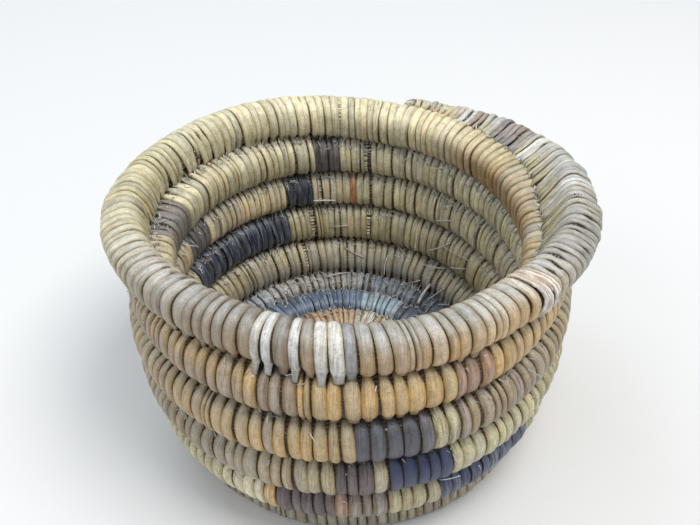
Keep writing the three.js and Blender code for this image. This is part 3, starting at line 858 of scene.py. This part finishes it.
def knot_body():
    """The body under the crossing splints, which closes the space up to the first turn."""
    radius = KNOT_SHAPE[:, None] * KNOT_RADIUS
    around = np.arange(KNOT_SIDES) / KNOT_SIDES * math.tau
    ribs = 1 + 0.05 * np.cos(around * KNOT_RIBS)
    level = np.linspace(0, 1, len(radius))[:, None]
    z = np.repeat(level * (KNOT_HEIGHT - 0.7) + 0.05, KNOT_SIDES, 1)
    first = np.mod(around / math.tau - END_AZIMUTH / 360, 1)
    reach = out_at(first) - radius_at(first) * 0.55
    web = np.exp(-(((level - 0.42) / 0.24) ** 4))
    spread = radius * ribs * (1 - web) + (reach + 0.12 * np.cos(around * KNOT_RIBS * 2)) * web
    x = AXIS[0] + spread * np.cos(around)
    y = AXIS[1] + spread * np.sin(around)
    points = np.stack([x, y, z], -1) * MM
    fibre = layered(z.shape, around * 3, z, 9)
    return plain_part(points, grid_faces(*z.shape), linear(KNOT_BODY), SPLINT["brown"], 0.4, fibre)


def knot_spoke(first, way):
    """A splint from the knot out to the first turn, over it (way 1) or under it (way -1)."""
    out, thick = out_at(first), radius_at(first)
    far = np.linspace(KNOT_RADIUS * 0.7, out - thick * 0.25, STRIP_STEPS)
    f = np.linspace(0, 1, STRIP_STEPS)
    low, height = (2.6, 0.62) if way > 0 else (1.5, -0.5)
    rise = up_at(first) + thick * height
    lift = low + (rise - low) * f + way * 0.4 * np.sin(math.pi * f)
    half = np.minimum(0.95, far * math.pi / SPOKES * 1.25)
    turns = first + half[:, None] * STRIP_SECTION[:, 0] / (math.tau * far[:, None])
    out_by = np.repeat(far[:, None], len(STRIP_SECTION), 1)
    up_by = lift[:, None] + way * 0.5 * STRIP_SECTION[:, 1]
    points = placed(turns, out_by, up_by)
    if way < 0:
        points = points[:, ::-1]
    colour = SPLINT["tan"] * rng.uniform(0.75, 1.1)
    return plain_part(points, STRIP_FACES, colour, colour * 0.5, 0.4, points / MM * 0.8)


def build_knot():
    """The start of the coil: a small dome of splints that cross in the middle of the base."""
    parts = [crossing_splint(i) for i in range(CROSSINGS)]
    parts.append(knot_body())
    for k in range(SPOKES):
        first = (k + rng.uniform(-0.2, 0.2)) / SPOKES % 1
        parts.append(knot_spoke(first, 1))
        parts.append(knot_spoke(first, -1))
    knot = make_object("start_knot_splints", parts, natural)
    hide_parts("start_knot")
    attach(knot, "root")


build_knot()

WISP_STEPS, WISP_SIDES = 6, 3
WISP_FACES = grid_faces(WISP_STEPS, WISP_SIDES)
# The height over the table below which no loose fibre goes
LOOSE_LOWEST = 0.03


def wisp(start, direction, length, thick, droop, colour, taper=0.8):
    """A loose fibre: a thin, slightly curved, tapering strip of three sides."""
    direction = np.asarray(direction, float)
    direction = direction / np.linalg.norm(direction)
    side = np.cross(direction, [0, 0, 1.0])
    side = side / max(1e-6, np.linalg.norm(side))
    up = np.cross(side, direction)
    bend = rng.uniform(-0.3, 0.3)
    f = np.linspace(0, 1, WISP_STEPS)[:, None, None]
    middle = start + direction * length * f + (side * bend + up * droop) * length * f * f
    half = thick * (1 - taper * f) / 2
    corners = np.array([side - 0.4 * up, 0.8 * up, -side - 0.4 * up])
    points = middle + corners * half
    points[..., 2] = np.maximum(points[..., 2], LOOSE_LOWEST)
    return plain_part(points * MM, WISP_FACES, colour, colour * 0.5, 0.2, points * 0.7)


def strip(turn_from, angle_from, turn_to, angle_to, lift, width, thick, colour, taper=0.15):
    """A flat splint laid over the coil from one place of its surface to another."""
    f = np.linspace(0, 1, STRIP_STEPS)
    t = turn_from + (turn_to - turn_from) * f
    angle = np.radians(angle_from + (angle_to - angle_from) * f)
    reach = radius_at(t) * squareness(t, angle - down_at(t)) + lift
    middle = coil_points(t, angle, reach) / MM
    ahead = np.gradient(middle, axis=0)
    ahead /= np.linalg.norm(ahead, axis=1, keepdims=True)
    normal = middle - coil_points(t, angle, reach - 1) / MM
    side = np.cross(ahead, normal)
    side /= np.linalg.norm(side, axis=1, keepdims=True)
    half = width / 2 * (1 - taper * np.abs(2 * f - 1) ** 3)
    points = middle[:, None] + side[:, None] * STRIP_SECTION[:, :1] * half[:, None, None]
    points = points + normal[:, None] * STRIP_SECTION[:, 1:] * thick
    points[..., 2] = np.maximum(points[..., 2], LOOSE_LOWEST)
    places = half[:, None] * STRIP_SECTION[:, 0]
    fibre = layered(places.shape, places, (f * 9)[:, None], turn_from * 50 + angle_from)
    return plain_part(points * MM, STRIP_FACES, colour, colour * 0.45, 0.35, fibre)


def directions_at(t, angle):
    """Out of the coil's surface, along the coil, and round its section."""
    azimuth = math.radians(END_AZIMUTH + 360 * t)
    outward = np.array([math.cos(azimuth), math.sin(azimuth), 0])
    tangent = np.array([-math.sin(azimuth), math.cos(azimuth), 0])
    normal = outward * math.cos(angle) + np.array([0, 0, math.sin(angle)])
    around = -outward * math.sin(angle) + np.array([0, 0, math.cos(angle)])
    return normal, tangent, around


# Frayed ends: how many, from which turn, over how many turns, the share on the inner side
FRAYED, FRAYED_FROM, FRAYED_TURNS, FRAYED_INSIDE = 4600, 1.5, 7.5, 0.86
# Loose straws, inside and outside: turn, section angle, heading, length, width
STRAWS = [
    (4.05, 80, 20, 9, 0.55), (4.98, 120, -30, 10, 0.5), (5.93, 130, 60, 8, 0.55),
    (6.94, 150, -50, 9, 0.5), (5.0, 110, 80, 12, 0.45), (4.1, 70, -60, 8, 0.5),
    (5.9, 140, 10, 11, 0.45), (7.97, 140, -20, 9, 0.45),
    (5.62, -60, -30, 10, 0.4), (6.62, -40, 70, 7, 0.35), (4.93, 95, 50, 9, 0.6),
    (4.9, 100, 110, 7, 0.5), (3.9, 85, 130, 6, 0.5), (5.97, 150, 100, 6, 0.5),
    (6.9, 160, 100, 5, 0.5), (5.55, -70, -80, 5, 0.35), (5.7, -60, -100, 5, 0.35),
    (4.92, 150, 60, 11, 0.5), (4.955, 170, 40, 8, 0.45), (5.9, 165, 30, 7, 0.45),
    (6.05, 165, 5, 6, 0.45), (5.03, 150, -15, 8, 0.5), (6.93, 170, 20, 6, 0.45),
]
# The one thick straw: turn and section angle of its ends, height over the coil, length, width
THICK_ENDS = ((3.94, 135), (4.945, 175))
THICK_LIFT, THICK_LENGTH, THICK_WIDTH = 0.9, 8.5, 1.5
# Stems in each gap: how many, degrees to the first one and from one to the next
GAP_STEMS, GAP_FIRST, GAP_STEP = 30, 22, 10.5
# Flat splints laid over the coil: turn, angle, turn, angle, lift, width, thickness, colour
OVERLAYS = [
    (9.992, 55, 9.965, 150, 0.15, 2.2, 0.45, "ash"),
    (9.985, 140, 9.95, 80, 0.2, 1.8, 0.4, "hay"),
    (9.706, -62, 9.694, -18, 0.4, 1.5, 0.5, "cream"),
    (7.068, 205, 7.068, 125, 0.15, 0.5, 0.35, "chalk"),
    (7.082, 205, 7.082, 125, 0.3, 0.4, 0.35, "chalk"),
    (7.064, 200, 7.089, 196, 0.3, 0.45, 0.35, "chalk"),
]


def frayed_end():
    """A short fibre that stands out of a groove between two turns."""
    t = FRAYED_FROM + FRAYED_TURNS * rng.random() ** 0.8
    side = 1 if rng.random() < FRAYED_INSIDE else -1
    angle = next_at(t) + side * math.radians(rng.uniform(12, 52 if t > 4.3 else 90))
    rel = angle - down_at(t)
    radius = float(radius_at(t) * squareness(t, rel)) - 0.05
    normal, tangent, around = directions_at(t, angle)
    start = coil_points(t, angle, radius) / MM
    heading = normal * rng.uniform(0.3, 1.0) + tangent * rng.normal(0, 0.5)
    heading = heading + around * rng.normal(0, 0.8)
    length = rng.uniform(0.8, 2.6) if rng.random() < 0.93 else rng.uniform(3, 6)
    colour = SPLINT["chalk"] * rng.uniform(0.7, 1.25)
    thick = rng.uniform(0.3, 0.7)
    return wisp(start, heading, length, thick, rng.uniform(-0.15, 0.15), colour)


def straw(t, degrees, heading, length, thick):
    """A long straw that starts close over the coil."""
    angle = math.radians(degrees)
    normal, tangent, around = directions_at(t, angle)
    start = coil_points(t, angle, radius_at(t) + 0.5) / MM
    turned = math.radians(heading)
    way = tangent * math.cos(turned) + around * math.sin(turned) + normal * 0.12
    return wisp(start, way, length, thick, 0.05, SPLINT["chalk"], 0.3)


def thick_straw():
    start, end = (
        coil_points(t, math.radians(degrees), radius_at(t) + THICK_LIFT) / MM
        for t, degrees in THICK_ENDS
    )
    return wisp(start, end - start, THICK_LENGTH, THICK_WIDTH, 0.0, SPLINT["chalk"], 0.2)


def gap_stems(place):
    """Pale stems across the gap where two stitches part."""
    half = LADDER_GAP * 0.62 / (math.tau * out_at(place))
    down = math.degrees(down_at(place))
    stems = []
    for k in range(GAP_STEMS):
        angle = down - (GAP_FIRST + k * GAP_STEP + rng.uniform(-2, 2))
        shade = SPLINT["cream"] * rng.uniform(0.6, 1.15)
        width = rng.uniform(0.7, 1.0)
        stems.append(strip(place - half, angle, place + half, angle, -0.75, width, 0.5, shade))
    return stems


def build_wisps():
    """All that lies loose: frayed ends, most of them inside, straws, stems and laid splints."""
    parts = [frayed_end() for _ in range(FRAYED)]
    parts += [straw(*row) for row in STRAWS]
    parts.append(thick_straw())
    for place in LADDERS:
        parts += gap_stems(place)
    for *places, colour in OVERLAYS:
        parts.append(strip(*places, SPLINT[colour], taper=0.5))
    piece = make_object("loose_fibres", parts, rough_fibre)
    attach(piece, "root")


build_wisps()

# The splints over the rim's end: how many, and their colours
END_SPLINTS = 7
END_COLOURS = ("ash", "tan", "hay", "mottled")


def build_end():
    """Splints bent over the rim's blunt end."""
    parts = []
    middle = coil_points(COIL_END, 0.0, 0.0) / MM
    size = radius_at(COIL_END) + 0.1
    s = np.linspace(-0.25, math.pi + 0.25, STRIP_STEPS)[:, None]
    for k in range(END_SPLINTS):
        angle = k * math.pi / END_SPLINTS + rng.uniform(-0.15, 0.15)
        normal, tangent, around = directions_at(COIL_END, angle)
        line = middle + tangent * (0.55 * size + 0.08 * k) * np.maximum(np.sin(s), 1.6 * np.sin(s))
        line = line + normal * size * np.cos(s)
        facing = tangent * np.sin(s) + normal * np.cos(s)
        half = rng.uniform(0.9, 1.2)
        points = line[:, None] + around * STRIP_SECTION[:, :1] * half
        points = points + facing[:, None] * STRIP_SECTION[:, 1:] * 0.5
        colour = SPLINT[END_COLOURS[k % len(END_COLOURS)]] * rng.uniform(0.8, 1)
        parts.append(plain_part(points * MM, STRIP_FACES, colour, colour * 0.45, 0.4, points * 0.8))
    piece = make_object("rim_end_splints", parts, rough_fibre)
    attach(piece, "root")


build_end()

# The floor's half width in metres, and the range of its grey
FLOOR_REACH, FLOOR_DARK, FLOOR_PALE = 3.0, 0.67, 0.71


def build_stage():
    """A plain pale floor."""
    material, tree = new_material("pale_floor")
    noise = add_node(tree, "ShaderNodeTexNoise", {"Scale": 6.0}, "Fac")
    sockets = {"Value": noise, "To Min": FLOOR_DARK, "To Max": FLOOR_PALE}
    level = add_node(tree, "ShaderNodeMapRange", sockets)
    grey = add_node(tree, "ShaderNodeCombineColor", {0: level, 1: level, 2: level})
    shader = tree.nodes["Principled BSDF"]
    feed(tree, shader, {"Base Color": grey, "Roughness": 0.85, "Specular IOR Level": 0.2})
    mesh = bpy.data.meshes.new("floor")
    corners = [(x * FLOOR_REACH, y * FLOOR_REACH, 0) for x, y in ((-1, -1), (1, -1), (1, 1), (-1, 1))]
    mesh.from_pydata(corners, [], [(0, 1, 2, 3)])
    floor = bpy.data.objects.new("floor", mesh)
    bpy.context.scene.collection.objects.link(floor)
    mesh.materials.append(material)


build_stage()

# Soft lights: name, place in metres, size, power, colour
LIGHTS = [
    ("key", (0.3, -0.12, 0.9), 0.5, 7.0, (1.0, 0.98, 0.95)),
    ("sky", (-0.4, 0.5, 0.8), 0.6, 2.8, (0.82, 0.91, 1.0)),
    ("fill", (-0.7, -0.3, 0.65), 0.7, 2.0, (0.95, 0.975, 1.0)),
]
LIGHT_TARGET = (0, 0, 0.03)
WORLD_COLOUR, WORLD_STRENGTH = (0.92, 0.96, 1.0, 1), 0.56


def build_lights():
    for name, place, size, power, colour in LIGHTS:
        light = bpy.data.lights.new(name, "AREA")
        light.shape = "SQUARE"
        light.size = size
        light.energy = power
        light.color = colour
        obj = bpy.data.objects.new(name, light)
        bpy.context.scene.collection.objects.link(obj)
        obj.location = place
        towards = Vector(LIGHT_TARGET) - Vector(place)
        obj.rotation_euler = towards.to_track_quat("-Z", "Y").to_euler()
    world = bpy.data.worlds.new("studio")
    bpy.context.scene.world = world
    world.use_nodes = True
    background = world.node_tree.nodes["Background"]
    background.inputs["Color"].default_value = WORLD_COLOUR
    background.inputs["Strength"].default_value = WORLD_STRENGTH


build_lights()

# The photograph's focal length, width and middle in its pixels, then the camera's place
PHOTO_FOCAL, PHOTO_WIDTH, MIDDLE_RIGHT, MIDDLE_UP = 850.0, 700.0, 8.5, -22.9
DISTANCE, ELEVATION, ROLL, AIM_HEIGHT = 244.7, 0.6695, -0.019, 60.0
SENSOR_WIDTH = 36


def build_camera():
    """The photograph's camera: 38 degrees above, close, a little rolled."""
    forward = Vector((0, math.cos(ELEVATION), -math.sin(ELEVATION)))
    level = Vector((1, 0, 0))
    above = level.cross(forward)
    right = level * math.cos(ROLL) + above * math.sin(ROLL)
    up = above * math.cos(ROLL) - level * math.sin(ROLL)
    place = (Vector((AXIS[0], AXIS[1], AIM_HEIGHT)) - forward * DISTANCE) * MM
    data = bpy.data.cameras.new("camera")
    data.sensor_width = SENSOR_WIDTH
    data.lens = SENSOR_WIDTH * PHOTO_FOCAL / PHOTO_WIDTH
    data.shift_x = MIDDLE_RIGHT / PHOTO_WIDTH
    data.shift_y = MIDDLE_UP / PHOTO_WIDTH
    data.clip_start = 0.005
    camera = bpy.data.objects.new("camera", data)
    bpy.context.scene.collection.objects.link(camera)
    rotation = Matrix((right, up, -forward)).transposed().to_4x4()
    camera.matrix_world = Matrix.Translation(place) @ rotation
    bpy.context.scene.camera = camera


build_camera()
bpy.context.scene.view_settings.view_transform = "Standard"

bpy.context.view_layer.update()
